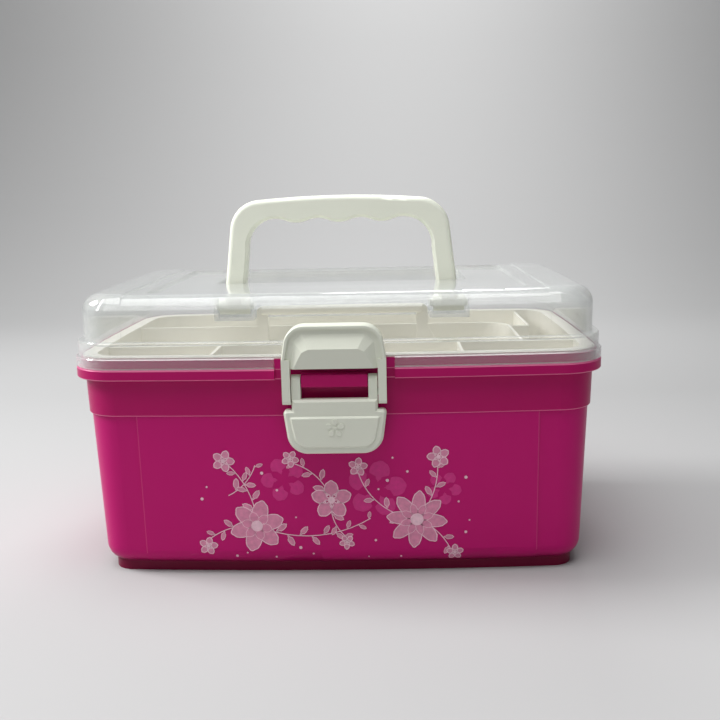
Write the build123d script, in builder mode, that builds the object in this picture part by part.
from build123d import *
import math
import os

# A makeup storage case: a tub with a clear stepped lid, a folding carry handle, an over-centre
# draw latch and a lift-out tray. Millimetres. The origin is on the floor under the middle of the
# case, +X is to the right, +Y to the back and +Z up. The latch is at the front.

# ---- Plan of the case, given at the widest place, which is the rim ----
rim_width = 294.0
rim_depth = 187.0
front_bow = 5.0          # how far the front and back bulge past their corners
side_bow = 2.0
rim_radius = 26.0

# ---- Heights of the tub, each from the one below ----
floor_low = 4.5          # underside of the floor, inside the foot ring
belly_height = 88.1      # up to where the belly steps out to the band
band_height = 20.8
lip_height = 5.7
upright_height = 5.2

# ---- Insets of the tub's walls from the rim, and its wall thicknesses ----
belly_low_inset = 9.1
belly_top_inset = 5.9
band_low_inset = 5.2
band_top_inset = 4.4
upright_inset = 2.7      # outer face of the rim's upright
upright_wall = 2.0
tub_wall = 2.2
tub_floor = 2.2
belly_round = 10.0       # bottom edge
corner_drop = 0.7        # the four corner columns lie this far behind the panels
edge_bevel = 0.5         # along the lip, the band's lower edge and the lid's flange
panel_half_width = 109.6
side_panel_half = 58.0
foot_inset = 14.4
foot_wall = 4.0

# ---- Clear lid ----
lid_wall = 2.0
lid_gap = 0.2            # between the lid's flange and the tub's lip
flange_height = 5.9
flange_fit = 0.4         # between the lid's flange and the rim's upright
skirt_inset = 1.5
skirt_height = 8.6       # from the flange's top to the ledge
dome_inset = 5.1         # lid wall over the ledge
dome_height = 25.2       # from the ledge to the lid's top
dome_round = 10.0
dome_bevel = 5.6         # on the inside, behind the round edge
mid_drop = 0.8           # the middle of the lid lies lower than its corners
mid_half_width = 115.0
top_panel_half = 106.0   # shallow recess in the top
top_panel_border = 27.5  # between the rim's front and the recess
top_panel_margin = 19.5  # between the recess and the rim's back
top_panel_depth = 1.6
recess_radius = 6.0

# ---- Carry handle ----
handle_rise = 66.8       # from its pivot to the top of the grip
handle_crown = 3.6       # how much lower the grip's ends lie than its middle
pivot_drop = 17.0        # the handle turns about X this far under the lid's top, at Y = 0
barrel_radius = 5.5
barrel_outer = 76.0
barrel_width = 19.0
trunnion_radius = 2.4
trunnion_length = 2.2
leg_outer_step = 3.0     # the barrels reach past the legs by this much on the outside
leg_inner_step = 3.5     # and on the inside
leg_lean = 7.8           # how far the legs lean in on their way up to the grip
handle_depth = 11.0
shoulder_radius = 19.0
grip_round = 3.0
grip_bevel = 1.8
grip_height = 14.8
finger_pitch = 26.0
finger_wave = 2.6
well_gap = 0.8           # between the handle and the walls of its well
well_clear = 1.0         # under the folded handle, and behind its grip
bridge_gap = 3.2         # the well is shallow over the tray's lifting handle, which it clears by this
bridge_margin = 5.5      # and reaches this far behind the handle's bar

# ---- Draw latch ----
notch_gap = 4.5          # between the latch and the ends of the lip and of the lid's flange
tab_gap = 4.1            # between the hoop's arms and the part of the flange that stays
tab_split = 3.0
pin_radius = 1.75
pin_play = 0.05          # radial running clearance of every pin
lever_pivot_reach = 1.1  # the lever's pivot lies this far in front of the rim
lever_pivot_drop = 5.6   # and this far under the lip's top
lever_hub = 3.2
hoop_pivot_reach = 0.1
hoop_pivot_drop = 6.8    # from the lever's pivot down to the hoop's
hoop_hub = 3.0
bracket_half = 17.5
bracket_height = 7.0
bracket_round = 1.0
side_play = 0.4          # between parts that turn beside each other
lever_arm = 4.8          # width of one arm of the lever
hoop_arm = 4.4           # width of one arm of the hoop
paddle_drop = 2.9        # from the hoop's pivot down to the top of the paddle
shoulder_drop = 8.5      # from the hoop's pivot down to the paddle's shoulders
paddle_height = 24.0     # from the shoulders to the lower edge
paddle_reach = 5.9       # how far the paddle's face lies in front of the rim
paddle_taper = 3.2       # each side leans in by this much towards the lower end
paddle_radius = 11.0
shoulder_round = 2.0
paddle_bevel = 1.3
paddle_border = 3.4      # between the paddle's edge and its raised face
paddle_rise = 1.0
paddle_slope = 45.0      # degrees
latch_wall = 2.0
latch_gap = 0.8          # between the lid and the back edge of the latch in front of it
hoop_rise = 9.6          # from the lid's ledge to the hoop's top
hoop_height = 23.0       # of the hoop's shell
hoop_foot_gap = 2.8      # between the hoop's feet and the paddle's shoulders
hoop_foot_round = 2.5
hoop_eye = 3.2           # radius of the arm's lobe behind the lever's pin
hoop_upright = 5.0       # the shell's sides are upright this far up, and lean in above
hoop_taper = 3.0
hoop_radius = 11.0
hoop_reach = 6.3         # how far the shell's face lies in front of the rim
hoop_groove = 1.3
hoop_rim = 1.8
hoop_bevel = 0.6
boss_reach = 8.9
boss_flat = 10.8         # height of the boss's flat, under its bevel
boss_foot_inset = 4.9    # the boss lies in from the latch's sides by this at the shell, low
boss_head_inset = 6.7    # and high
boss_drop = 4.8          # from the hoop's top to the boss's upper edge
boss_foot_cut = 4.0      # its bevelled corners at the shell
boss_front_inset = 9.5   # and at its front, low
boss_break_inset = 12.5  # and high
boss_front_cut = 2.2
hook_gap = 0.3
hook_height = 2.2
hook_side_gap = 7.5
hook_depth = 4.2         # how far the hook reaches in behind the rim's front
hood_depth = 2.9

# ---- Hinges at the back ----
hinge_x = 80.0
hinge_reach = 4.7        # the hinge's pin lies this far behind the rim
hinge_drop = 2.6         # and this far under the lip's top
hinge_radius = 4.2
hinge_pin = 2.0
clip_width = 16.0
clip_mouth = 3.2
ear_width = 5.5

# ---- Lift-out tray ----
tray_flange_inset = 3.8
tray_flange = 1.2
tray_headroom = 0.7      # between the tray's flange and the lid's step over it
tray_inset = 10.2
tray_depth = 29.5        # from the rim down to the tray's underside
tray_wall = 1.5
tray_bevel = 2.5
divider = 1.6
divider_drop = 0.5       # divider tops lie this far under the flange's top
front_row_depth = 49.5   # from the rim's front to the wall behind the front row
front_divider_x = 69.0
rear_row_depth = 63.5    # from the rim's back to the wall before the rear row
side_row_width = 41.0    # from the rim's right side to the wall beside it
side_wall_round = 16.0
rear_step = 12.0         # from that wall to the divider behind it
lift_rise = 17.1         # from the rim to the top of the lifting handle
lift_half_width = 53.4
lift_post = 7.0
lift_shoulder_drop = 6.3  # its shoulders lie this far under the rim
lift_flare = 5.0
lift_plate = 2.6
lift_bar_depth = 7.0
lift_bar_height = 5.4
lift_bar_round = 2.0
lift_corner = 4.0

cut_over = 10.0          # how far a cut runs out past the face that it opens

# ---- Places that follow from the sizes above ----
front_y = -rim_depth / 2
back_y = rim_depth / 2
belly_top = floor_low + belly_height
lip_low = belly_top + band_height
lip_top = lip_low + lip_height
rim_top = lip_top + upright_height
front_radius = ((rim_width / 2 - side_bow) ** 2 + front_bow ** 2) / (2 * front_bow)
side_radius = ((rim_depth / 2 - front_bow) ** 2 + side_bow ** 2) / (2 * side_bow)
flange_low = lip_top + lid_gap
flange_top = flange_low + flange_height
ledge_z = flange_top + skirt_height
lid_top = ledge_z + dome_height
flange_inner = upright_inset - flange_fit
skirt_low = rim_top + tray_flange + tray_headroom
mid_top = lid_top - mid_drop
panel_floor = mid_top - top_panel_depth
top_panel_front = front_y + top_panel_border
top_panel_back = back_y - top_panel_margin
pivot_z = lid_top - pivot_drop
handle_top = pivot_z + handle_rise
barrel_inner = barrel_outer - barrel_width
leg_outer = barrel_outer - leg_outer_step
leg_inner = barrel_inner + leg_inner_step
well_floor = pivot_z - handle_depth / 2 - well_clear
well_inner = barrel_inner - well_gap
well_outer = barrel_outer + well_gap
well_front = -handle_depth / 2 - well_gap
well_back = handle_top - pivot_z + well_gap + well_clear
lift_top = rim_top + lift_rise
lift_shoulder = rim_top - lift_shoulder_drop
bridge_floor = lift_top + bridge_gap + lid_wall
bridge_back = lift_bar_depth / 2 + bridge_margin
lever_inner = bracket_half + side_play
lever_outer = lever_inner + lever_arm
hoop_inner = lever_outer + side_play
latch_half_width = hoop_inner + hoop_arm
notch_half_width = latch_half_width + notch_gap
tab_half_width = hoop_inner - tab_gap
lever_pivot_y = front_y - lever_pivot_reach
lever_pivot_z = lip_top - lever_pivot_drop
hoop_pivot_y = front_y - hoop_pivot_reach
hoop_pivot_z = lever_pivot_z - hoop_pivot_drop
paddle_top = hoop_pivot_z - paddle_drop
shoulder_z = hoop_pivot_z - shoulder_drop
paddle_low = shoulder_z - paddle_height
paddle_front = front_y - paddle_reach
latch_back = front_y - latch_gap
hoop_top = ledge_z + hoop_rise
hoop_low = hoop_top - hoop_height
hoop_foot = shoulder_z + hoop_foot_gap
hoop_front = front_y - hoop_reach
boss_front = front_y - boss_reach
boss_break = hoop_low + boss_flat
boss_foot_half = latch_half_width - boss_foot_inset
boss_head_half = latch_half_width - boss_head_inset
boss_front_half = latch_half_width - boss_front_inset
boss_break_half = latch_half_width - boss_break_inset
hook_low = ledge_z + hook_gap
hook_half_width = latch_half_width - hook_side_gap
hook_back = front_y + hook_depth
hood_back = front_y + hood_depth
hinge_y = back_y + hinge_reach
hinge_z = lip_top - hinge_drop
tray_low = rim_top - tray_depth
front_row_y = front_y + front_row_depth
rear_wall_y = back_y - rear_row_depth
side_wall_x = rim_width / 2 - side_row_width
rear_divider_x = side_wall_x + rear_step

# ---- The four big circles whose overlap gives the case its bowed plan ----
side_centre = Pos(side_radius - rim_width / 2, 0)
front_centre = Pos(0, front_radius - rim_depth / 2)
half_turn = Rot(0, 0, 180)
walls = (
    (side_centre, side_radius), (half_turn * side_centre, side_radius),
    (front_centre, front_radius), (half_turn * front_centre, front_radius),
)


class BowedOutline(BaseSketchObject):
    """The case's plan drawn in from the rim: four shallow arcs and round corners."""

    def __init__(self, inset: float, mode: Mode = Mode.ADD):
        with BuildSketch() as plan:
            Rectangle(2 * rim_width, 2 * rim_depth)
            for centre, radius in walls:
                with Locations(centre):
                    Circle(radius - inset, mode=Mode.INTERSECT)
            fillet(plan.vertices(), rim_radius - inset)
        super().__init__(plan.sketch, 0, None, mode)


def tapered_block(low_z, low_inset, high_z, high_inset,
                  bevel_low=0.0, round_low=0.0, bevel_high=0.0, round_high=0.0) -> Part:
    """A block with drafted walls between two insets, whose bottom or top edge may be bevelled or round."""
    height = high_z - low_z
    with BuildPart() as block:
        with BuildSketch(Plane.XY.offset(low_z)):
            BowedOutline(low_inset)
        extrude(amount=height)
        if low_inset != high_inset:
            sides = block.faces().filter_by(lambda face: face.bounding_box().size.Z > height / 2)
            draft(sides, Plane.XY.offset(low_z), math.degrees(math.atan2(high_inset - low_inset, height)))
        if bevel_low:
            chamfer(block.faces().sort_by(Axis.Z)[0].edges(), bevel_low)
        if round_low:
            fillet(block.faces().sort_by(Axis.Z)[0].edges(), round_low)
        if bevel_high:
            chamfer(block.faces().sort_by(Axis.Z)[-1].edges(), bevel_high)
        if round_high:
            fillet(block.faces().sort_by(Axis.Z)[-1].edges(), round_high)
    return block.part


def bounded_block(x_range, y_range, z_range, corner=0.0) -> Part:
    """An upright block between limits, with round vertical corners."""
    width = x_range[1] - x_range[0]
    depth = y_range[1] - y_range[0]
    middle = ((x_range[0] + x_range[1]) / 2, (y_range[0] + y_range[1]) / 2)
    with BuildPart() as block:
        with BuildSketch(Plane.XY.offset(z_range[0])):
            with Locations(middle):
                if corner:
                    RectangleRounded(width, depth, corner)
                else:
                    Rectangle(width, depth)
        extrude(amount=z_range[1] - z_range[0])
    return block.part


# ======================================================================
# Base tub
# ======================================================================
column_belly = tapered_block(
    floor_low, belly_low_inset + corner_drop, belly_top, belly_top_inset + corner_drop,
    round_low=belly_round,
)
panel_belly = tapered_block(
    floor_low, belly_low_inset, belly_top, belly_top_inset, round_low=belly_round
)
belly_hollow = tapered_block(
    floor_low + tub_floor,
    belly_low_inset + corner_drop + tub_wall,
    belly_top,
    belly_top_inset + corner_drop + tub_wall,
    bevel_low=(belly_round - tub_wall) / 2,
)

# The panels that stand proud of the corner columns, on all four sides.
with BuildPart() as belly_panels:
    add(panel_belly)
    with BuildSketch():
        Rectangle(2 * panel_half_width, rim_depth)
        Rectangle(rim_width, 2 * side_panel_half)
    extrude(amount=belly_top, mode=Mode.INTERSECT)

with BuildPart() as base_tub:
    add(column_belly)
    add(belly_panels.part)
    # Foot ring, whose top runs into the belly's round edge.
    with BuildSketch():
        BowedOutline(foot_inset)
    extrude(amount=floor_low + belly_round / 2)
    # Band, lip and the rim's upright.
    add(tapered_block(belly_top, band_low_inset, lip_top, band_top_inset, bevel_low=edge_bevel))
    add(tapered_block(lip_low, 0, lip_top, 0, bevel_low=edge_bevel, bevel_high=edge_bevel))
    with BuildSketch(Plane.XY.offset(lip_low)):
        BowedOutline(upright_inset)
    extrude(amount=rim_top - lip_low)
    # Inside: belly, band and the step under the upright.
    add(belly_hollow, mode=Mode.SUBTRACT)
    with BuildSketch(Plane.XY.offset(belly_top)):
        BowedOutline(band_low_inset + tub_wall)
    extrude(amount=rim_top - belly_top, mode=Mode.SUBTRACT)
    with BuildSketch(Plane.XY.offset(lip_low + tub_wall)):
        BowedOutline(upright_inset + upright_wall)
    extrude(amount=rim_top - lip_low, mode=Mode.SUBTRACT)
    # Underside, inside the foot ring.
    with BuildSketch():
        BowedOutline(foot_inset + foot_wall)
    extrude(amount=floor_low, mode=Mode.SUBTRACT)
    # The lip stops short of the latch.
    with BuildSketch(Plane.XY.offset(lip_low)):
        with Locations((0, front_y)):
            Rectangle(2 * notch_half_width, 4 * upright_inset)
        BowedOutline(upright_inset, mode=Mode.SUBTRACT)
    extrude(amount=lip_top - lip_low, mode=Mode.SUBTRACT)
    # Latch bracket with its two pins.
    with BuildSketch(Plane.YZ.offset(-bracket_half)):
        bracket_back = front_y + band_top_inset + tub_wall / 2
        bracket_front = lever_pivot_y - lever_hub
        with Locations(((bracket_back + bracket_front) / 2, lever_pivot_z)):
            bracket = Rectangle(bracket_back - bracket_front, bracket_height)
        fillet(bracket.vertices().group_by(Axis.X)[0], bracket_round)
    extrude(amount=2 * bracket_half)
    with BuildSketch(Plane.YZ.offset(-(lever_outer - side_play))):
        with Locations((lever_pivot_y, lever_pivot_z)):
            Circle(pin_radius)
    extrude(amount=2 * (lever_outer - side_play))
    # Hinge ears on the back of the lip, two to a hinge, with the pin between them.
    for side in (-1, 1):
        for inner in (-1, 1):
            ear_middle = side * hinge_x + inner * (clip_width / 2 + side_play + ear_width / 2)
            ear_start = ear_middle - ear_width / 2
            with BuildSketch(Plane.YZ.offset(ear_start)):
                with Locations((hinge_y, hinge_z)):
                    Circle(hinge_radius)
                with Locations((rim_depth / 2 - front_bow / 2, lip_low)):
                    Rectangle(2 * side_play, lip_top - lip_low - side_play, align=(Align.MAX, Align.MIN))
                make_hull()
            extrude(amount=ear_width)
        pin_half = clip_width / 2 + side_play + ear_width / 2
        with BuildSketch(Plane.YZ.offset(side * hinge_x - pin_half)):
            with Locations((hinge_y, hinge_z)):
                Circle(hinge_pin)
        extrude(amount=2 * pin_half)

base_tub.part.label = "base_tub"


# ======================================================================
# Clear lid
# ======================================================================
def handle_recess(grow: float) -> Part:
    """The hollows in the lid's top: a shallow panel and the handle's well, grown by a wall."""
    above = lid_top + cut_over
    with BuildPart() as recess:
        add(bounded_block(
            (-top_panel_half - grow, top_panel_half + grow),
            (top_panel_front - grow, top_panel_back + grow),
            (panel_floor - grow, above), recess_radius + grow,
        ))
        add(bounded_block(
            (-well_outer - grow, well_outer + grow),
            (bridge_back - grow, well_back + grow),
            (well_floor - grow, above), recess_radius / 2 + grow,
        ))
        add(bounded_block(
            (-well_outer - grow, well_outer + grow),
            (well_front - grow, bridge_back + recess_radius),
            (bridge_floor - grow, above),
        ))
        for side in (-1, 1):
            pocket = sorted((side * (well_inner - grow), side * (well_outer + grow)))
            add(bounded_block(
                pocket, (well_front - grow, bridge_back + recess_radius), (well_floor - grow, above),
            ))
    return recess.part


corner_dome = tapered_block(ledge_z, dome_inset, lid_top, dome_inset, round_high=dome_round)
middle_dome = tapered_block(
    ledge_z, dome_inset + mid_drop, mid_top, dome_inset + mid_drop, round_high=dome_round
)
hollow_inset = dome_inset + mid_drop + lid_wall
dome_hollow = tapered_block(
    ledge_z - lid_wall, hollow_inset, mid_top - lid_wall, hollow_inset, bevel_high=dome_bevel
)

# The four corners of the lid, a little prouder than its middle.
with BuildPart() as lid_corners:
    add(corner_dome)
    with BuildSketch(Plane.XY.offset(ledge_z)):
        Rectangle(2 * mid_half_width, rim_depth)
    extrude(amount=lid_top, mode=Mode.SUBTRACT)

# The room under the lid's top, which leaves a wall around every recess.
with BuildPart() as lid_room:
    add(dome_hollow)
    add(handle_recess(lid_wall), mode=Mode.SUBTRACT)

with BuildPart() as lid:
    add(middle_dome)
    add(lid_corners.part)
    add(tapered_block(flange_top, skirt_inset, ledge_z, skirt_inset, bevel_high=edge_bevel))
    add(tapered_block(flange_low, 0, flange_top, 0, bevel_low=edge_bevel, bevel_high=edge_bevel))
    add(handle_recess(0.0), mode=Mode.SUBTRACT)
    add(lid_room.part, mode=Mode.SUBTRACT)
    with BuildSketch(Plane.XY.offset(flange_low)):
        BowedOutline(flange_inner)
    extrude(amount=skirt_low - flange_low, mode=Mode.SUBTRACT)
    with BuildSketch(Plane.XY.offset(skirt_low)):
        BowedOutline(skirt_inset + lid_wall)
    extrude(amount=ledge_z - lid_wall - skirt_low, mode=Mode.SUBTRACT)
    # The flange is cut away round the latch, except for two tabs in its middle.
    with BuildSketch(Plane.XY.offset(flange_low)):
        for side in (-1, 1):
            with Locations((side * (notch_half_width + tab_half_width) / 2, front_y)):
                Rectangle(notch_half_width - tab_half_width, 4 * flange_inner)
        with Locations((0, front_y)):
            Rectangle(2 * tab_split, 4 * flange_inner)
    extrude(amount=flange_top - flange_low, mode=Mode.SUBTRACT)
    # Holes for the handle's trunnions, through both walls of each pocket.
    with BuildSketch(Plane.YZ.offset(-(well_outer + 2 * lid_wall))):
        with Locations((0, pivot_z)):
            Circle(trunnion_radius + pin_play)
    extrude(amount=well_outer + 2 * lid_wall - (well_inner - 2 * lid_wall), mode=Mode.SUBTRACT)
    with BuildSketch(Plane.YZ.offset(well_inner - 2 * lid_wall)):
        with Locations((0, pivot_z)):
            Circle(trunnion_radius + pin_play)
    extrude(amount=well_outer + 2 * lid_wall - (well_inner - 2 * lid_wall), mode=Mode.SUBTRACT)
    # Hinge clips: an arm from the flange to an open ring round the tub's pin.
    for side in (-1, 1):
        with BuildSketch(Plane.YZ.offset(side * hinge_x - clip_width / 2)):
            with Locations((hinge_y, hinge_z)):
                Circle(hinge_radius)
            with Locations((rim_depth / 2 - front_bow / 2, (flange_low + flange_top) / 2)):
                Rectangle(2 * side_play, (flange_top - flange_low) / 2, align=(Align.MAX, Align.CENTER))
            make_hull()
            with Locations((hinge_y - hinge_radius, flange_low)):
                Rectangle(rim_depth, hinge_radius, align=(Align.MAX, Align.MAX), mode=Mode.SUBTRACT)
            with Locations((hinge_y, hinge_z)):
                Circle(hinge_pin + pin_play, mode=Mode.SUBTRACT)
                Rectangle(clip_mouth, 2 * hinge_radius, align=(Align.CENTER, Align.MAX), mode=Mode.SUBTRACT)
        extrude(amount=clip_width)

lid.part.label = "lid"


# ======================================================================
# Carry handle
# ======================================================================
wave_mid = handle_top - grip_height
leg_rise = handle_top - handle_crown - pivot_z
inner_bend_z = wave_mid - grip_height - finger_wave    # the legs' inner sides curve above this
inner_bend_x = leg_inner - leg_lean * (inner_bend_z - pivot_z) / leg_rise

with BuildPart() as carry_handle:
    with BuildSketch(Plane.XZ.offset(-handle_depth / 2)) as bail:
        with BuildLine():
            corner = (leg_outer - leg_lean, handle_top - handle_crown)
            TangentArc((0, handle_top), corner, tangent=(1, 0))
            Polyline(corner, (leg_outer, pivot_z), (0, pivot_z))
            mirror(about=Plane.YZ)
        make_face()
        fillet(bail.vertices().filter_by(lambda point: abs(point.X) > finger_pitch).group_by(Axis.Y)[-1],
               shoulder_radius)
    extrude(amount=handle_depth)
    for face in carry_handle.faces().filter_by(Axis.Y):
        fillet(face.edges().filter_by(lambda edge: edge.center().Z > pivot_z + 1), grip_round)
    # The opening for the hand, whose wavy upper side gives each finger a hollow.
    with BuildSketch(Plane.XZ.offset(-handle_depth / 2)):
        with BuildLine():
            spot, rising = (0.0, wave_mid - finger_wave / 2), (1, 0)
            for step in range(1, 7):
                height = wave_mid + finger_wave / 2 * (-1, 0, 1, 0)[step % 4]
                arc = TangentArc(spot, (step * finger_pitch / 4, height), tangent=rising)
                spot, rising = arc @ 1, arc % 1
            TangentArc(spot, (inner_bend_x, inner_bend_z), tangent=rising)
            Polyline((inner_bend_x, inner_bend_z), (leg_inner, pivot_z), (0, pivot_z))
            mirror(about=Plane.YZ)
        make_face()
    extrude(amount=handle_depth, mode=Mode.SUBTRACT)
    opening_edges = carry_handle.edges(Select.LAST).filter_by(
        lambda edge: abs(abs(edge.center().Y) - handle_depth / 2) < 0.01 and edge.center().Z > pivot_z + 1)
    chamfer(opening_edges, grip_bevel)
    for side in (-1, 1):
        barrel_start = min(side * barrel_inner, side * barrel_outer)
        with BuildSketch(Plane.YZ.offset(barrel_start)):
            with Locations((0, pivot_z)):
                Circle(barrel_radius)
        extrude(amount=barrel_width)
        with BuildSketch(Plane.YZ.offset(barrel_start - trunnion_length)):
            with Locations((0, pivot_z)):
                Circle(trunnion_radius)
        extrude(amount=barrel_width + 2 * trunnion_length)

carry_handle.part.label = "carry_handle"


# ======================================================================
# Latch lever: a paddle with two arms that turn on the tub's bracket
# ======================================================================
def paddle_outline(inset: float) -> Sketch:
    """The paddle's outline seen from the front, drawn in by an inset."""
    half = latch_half_width - inset
    with BuildSketch() as outline:
        with BuildLine():
            Polyline((-half, shoulder_z - inset), (half, shoulder_z - inset),
                     (half - paddle_taper, paddle_low + inset),
                     (-half + paddle_taper, paddle_low + inset), close=True)
        make_face()
        fillet(outline.vertices().group_by(Axis.Y)[0], paddle_radius - inset)
        fillet(outline.vertices().group_by(Axis.Y)[-1], max(shoulder_round - inset, shoulder_round / 4))
    return outline.sketch


with BuildPart() as latch_lever:
    # Paddle, open at the back, with a raised plateau on its face.
    with BuildSketch(Plane.XZ.offset(-latch_back)):
        add(paddle_outline(0.0))
        with Locations((0, shoulder_z)):
            Rectangle(2 * lever_outer, 2 * (paddle_top - shoulder_z))
    extrude(amount=latch_back - paddle_front)
    chamfer(latch_lever.faces().sort_by(Axis.Y)[0].edges(), paddle_bevel)
    with BuildSketch(Plane.XZ.offset(-latch_back)):
        add(paddle_outline(latch_wall))
        with Locations((0, shoulder_z - latch_wall)):
            Rectangle(2 * (lever_outer - latch_wall), 2 * (paddle_top - shoulder_z))
    extrude(amount=latch_back - paddle_front - latch_wall, mode=Mode.SUBTRACT)
    with BuildSketch(Plane.XZ.offset(-paddle_front)):
        add(paddle_outline(paddle_border))
    extrude(amount=paddle_rise, taper=paddle_slope)
    # Arms, with the lever's pivot hole at the top and the hoop's pins on their outer sides.
    for side in (-1, 1):
        arm_start = min(side * lever_inner, side * lever_outer)
        with BuildSketch(Plane.YZ.offset(arm_start)):
            with Locations((lever_pivot_y, lever_pivot_z)):
                Circle(lever_hub)
            with Locations((hoop_pivot_y, hoop_pivot_z)):
                Circle(hoop_hub)
            with Locations((latch_back, shoulder_z)):
                Rectangle(latch_back - paddle_front - paddle_bevel, paddle_top - shoulder_z,
                          align=(Align.MAX, Align.MIN))
            make_hull()
        extrude(amount=lever_arm)
        with BuildSketch(Plane.YZ.offset(min(side * lever_inner, side * (latch_half_width - side_play)))):
            with Locations((hoop_pivot_y, hoop_pivot_z)):
                Circle(pin_radius)
        extrude(amount=latch_half_width - side_play - lever_inner)
    with BuildSketch(Plane.YZ.offset(-lever_outer)):
        with Locations((lever_pivot_y, lever_pivot_z)):
            Circle(pin_radius + pin_play)
    extrude(amount=2 * lever_outer, mode=Mode.SUBTRACT)

latch_lever.part.label = "latch_lever"


# ======================================================================
# Latch hoop: a dished shell on two arms, with a hook over the lid's ledge
# ======================================================================
def hoop_outline(inset: float, low_z: float) -> Sketch:
    """The hoop's outer outline seen from the front, above a height, drawn in by an inset."""
    half = latch_half_width - inset
    top = hoop_top - inset
    top_half = half - hoop_taper
    bend = hoop_low + hoop_upright
    with BuildSketch() as outline:
        with BuildLine():
            Polyline((-half, hoop_low), (half, hoop_low), (half, bend),
                     (top_half, top), (-top_half, top), (-half, bend), close=True)
        make_face()
        fillet(outline.vertices().group_by(Axis.Y)[-1], hoop_radius - inset)
        if low_z > hoop_low:
            with Locations((0, low_z)):
                Rectangle(2 * rim_depth, low_z, align=(Align.CENTER, Align.MAX), mode=Mode.SUBTRACT)
    return outline.sketch


with BuildPart() as latch_hoop:
    # Shell with a raised rim, a groove inside it and side walls behind it.
    with BuildSketch(Plane.XZ.offset(-latch_back)):
        add(hoop_outline(0.0, hoop_low))
    extrude(amount=latch_back - hoop_front)
    with BuildSketch(Plane.XZ.offset(-hood_back)):
        add(hoop_outline(0.0, hook_low))
    extrude(amount=hood_back - latch_back)
    chamfer(latch_hoop.faces().sort_by(Axis.Y)[0].edges().filter_by(
        lambda edge: edge.center().Z > hoop_low + 1), hoop_bevel)
    with BuildSketch(Plane.XZ.offset(-hoop_front)):
        add(hoop_outline(hoop_rim, hoop_low))
    extrude(amount=-hoop_groove, mode=Mode.SUBTRACT)
    with BuildSketch(Plane.XZ.offset(-hood_back)):
        add(hoop_outline(latch_wall, hook_low + hook_height))
    extrude(amount=hood_back - hoop_front - hoop_groove - latch_wall, mode=Mode.SUBTRACT)
    with BuildSketch(Plane.XZ.offset(-latch_back)):
        with Locations((0, hoop_low)):
            Rectangle(2 * (latch_half_width - latch_wall), hook_low - hoop_low,
                      align=(Align.CENTER, Align.MIN))
    extrude(amount=latch_back - hoop_front - hoop_groove - latch_wall, mode=Mode.SUBTRACT)
    # Boss: a bevel that faces up and a flat that leans back below it.
    with BuildSketch(Plane.XZ.offset(-(hoop_front + hoop_groove))) as boss_foot:
        with BuildLine():
            Polyline((-boss_foot_half, hoop_low), (boss_foot_half, hoop_low),
                     (boss_head_half, hoop_top - boss_drop),
                     (-boss_head_half, hoop_top - boss_drop), close=True)
        make_face()
        chamfer(boss_foot.vertices().group_by(Axis.Y)[-1], boss_foot_cut)
    with BuildSketch(Plane.XZ.offset(-boss_front)) as boss_face:
        with BuildLine():
            Polyline((-boss_front_half, hoop_low), (boss_front_half, hoop_low),
                     (boss_break_half, boss_break), (-boss_break_half, boss_break), close=True)
        make_face()
        chamfer(boss_face.vertices().group_by(Axis.Y)[-1], boss_front_cut)
    loft(ruled=True)
    with BuildSketch(Plane.YZ.offset(-latch_half_width)):
        with BuildLine():
            Polyline((boss_front - 1, boss_break), (boss_front, boss_break), (hoop_front, hoop_low),
                     (hoop_front, hoop_low - 1), (boss_front - 1, hoop_low - 1), close=True)
        make_face()
    extrude(amount=2 * latch_half_width, mode=Mode.SUBTRACT)
    # Hook over the lid's ledge.
    with BuildSketch(Plane.XY.offset(hook_low)):
        with Locations((0, hook_back)):
            Rectangle(2 * hook_half_width, hook_back - hoop_front - hoop_groove - latch_wall / 2,
                      align=(Align.CENTER, Align.MAX))
    extrude(amount=hook_height)
    # Arms down to the lever's pins.
    for side in (-1, 1):
        arm_start = min(side * hoop_inner, side * latch_half_width)
        with BuildSketch(Plane.YZ.offset(arm_start)) as arm:
            with BuildLine():
                Polyline((hoop_front, hoop_low + hoop_upright), (latch_back, hoop_low + hoop_upright),
                         (latch_back, hoop_foot), (hoop_front, hoop_foot), close=True)
            make_face()
            fillet(arm.vertices().group_by(Axis.Y)[0].sort_by(Axis.X)[0], hoop_foot_round)
            with Locations((hoop_pivot_y, hoop_pivot_z)):
                Circle(hoop_eye)
        extrude(amount=latch_half_width - hoop_inner)
    with BuildSketch(Plane.YZ.offset(-latch_half_width)):
        with Locations((hoop_pivot_y, hoop_pivot_z)):
            Circle(pin_radius + pin_play)
    extrude(amount=2 * latch_half_width, mode=Mode.SUBTRACT)

latch_hoop.part.label = "latch_hoop"


# ======================================================================
# Lift-out tray
# ======================================================================
tray_floor = tray_low + tray_wall
tray_top = rim_top + tray_flange
divider_top = tray_top - divider_drop
tray_pan = tapered_block(tray_low, tray_inset, rim_top, tray_inset, bevel_low=tray_bevel)
tray_hollow = tapered_block(
    tray_floor, tray_inset + tray_wall, tray_top, tray_inset + tray_wall, bevel_low=tray_bevel
)

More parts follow.
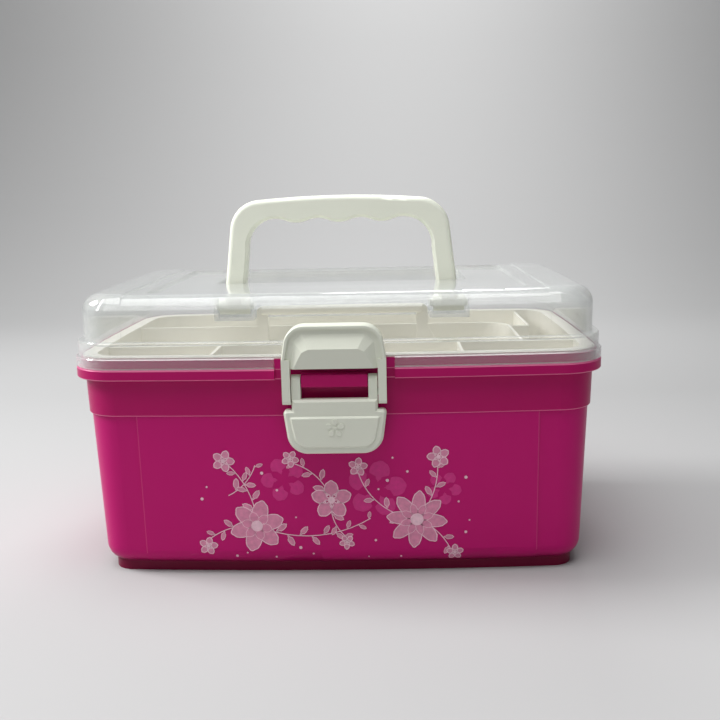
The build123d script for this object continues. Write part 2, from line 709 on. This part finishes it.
# Walls between the compartments, cut to the pan's shape.
with BuildPart() as tray_dividers:
    with BuildSketch(Plane.XY.offset(tray_low)) as divider_plan:
        with Locations((0, front_row_y)):
            Rectangle(rim_width, divider)
        for side in (-1, 1):
            with Locations((side * front_divider_x, front_row_y)):
                Rectangle(divider, rim_depth / 2, align=(Align.CENTER, Align.MAX))
        with Locations((rear_divider_x, rear_wall_y - side_wall_round)):
            Rectangle(divider, rim_depth / 2, align=(Align.CENTER, Align.MIN))
        # The wall behind the middle compartment, which turns forwards at its right end.
        with BuildLine() as rear_path:
            FilletPolyline((-rim_width / 2, rear_wall_y), (side_wall_x, rear_wall_y),
                           (side_wall_x, front_row_y), radius=side_wall_round)
        trace(line_width=divider)
        with Locations(((side_wall_x + rear_divider_x) / 2, rear_wall_y - side_wall_round)):
            Rectangle(rear_divider_x - side_wall_x, divider)
    extrude(amount=divider_top - tray_low)
    add(tray_pan, mode=Mode.INTERSECT)

with BuildPart() as inner_tray:
    add(tray_pan)
    with BuildSketch(Plane.XY.offset(rim_top)):
        BowedOutline(tray_flange_inset)
    extrude(amount=tray_flange)
    add(tray_hollow, mode=Mode.SUBTRACT)
    add(tray_dividers.part)
    # Lifting handle: a plate with flared shoulders and a thick bar at the top.
    with BuildSketch(Plane.XZ.offset(-lift_plate / 2)) as lift:
        with BuildLine():
            Polyline((-lift_half_width - lift_flare, tray_floor), (lift_half_width + lift_flare, tray_floor),
                     (lift_half_width + lift_flare, lift_shoulder),
                     (lift_half_width, lift_shoulder + 2 * lift_flare), (lift_half_width, lift_top),
                     (-lift_half_width, lift_top), (-lift_half_width, lift_shoulder + 2 * lift_flare),
                     (-lift_half_width - lift_flare, lift_shoulder), close=True)
        make_face()
        fillet(lift.vertices().group_by(Axis.Y)[-1], lift_corner)
        with Locations((0, lift_shoulder)):
            Rectangle(2 * (lift_half_width - lift_post), lift_top - lift_bar_height - lift_shoulder,
                      align=(Align.CENTER, Align.MIN), mode=Mode.SUBTRACT)
    extrude(amount=lift_plate)
    with BuildSketch(Plane.YZ.offset(-(lift_half_width - lift_post / 2))) as bar:
        with Locations((0, lift_top - lift_bar_height / 2)):
            RectangleRounded(lift_bar_depth, lift_bar_height, lift_bar_round)
    extrude(amount=2 * lift_half_width - lift_post)

inner_tray.part.label = "inner_tray"


# ======================================================================
# Files, one for each piece
# ======================================================================
os.makedirs("parts", exist_ok=True)
for piece in (base_tub, lid, carry_handle, latch_lever, latch_hoop, inner_tray):
    export_step(piece.part, f"parts/{piece.part.label}.step")
    print(piece.part.label, "volume", round(piece.part.volume / 1000, 1), "cm3")
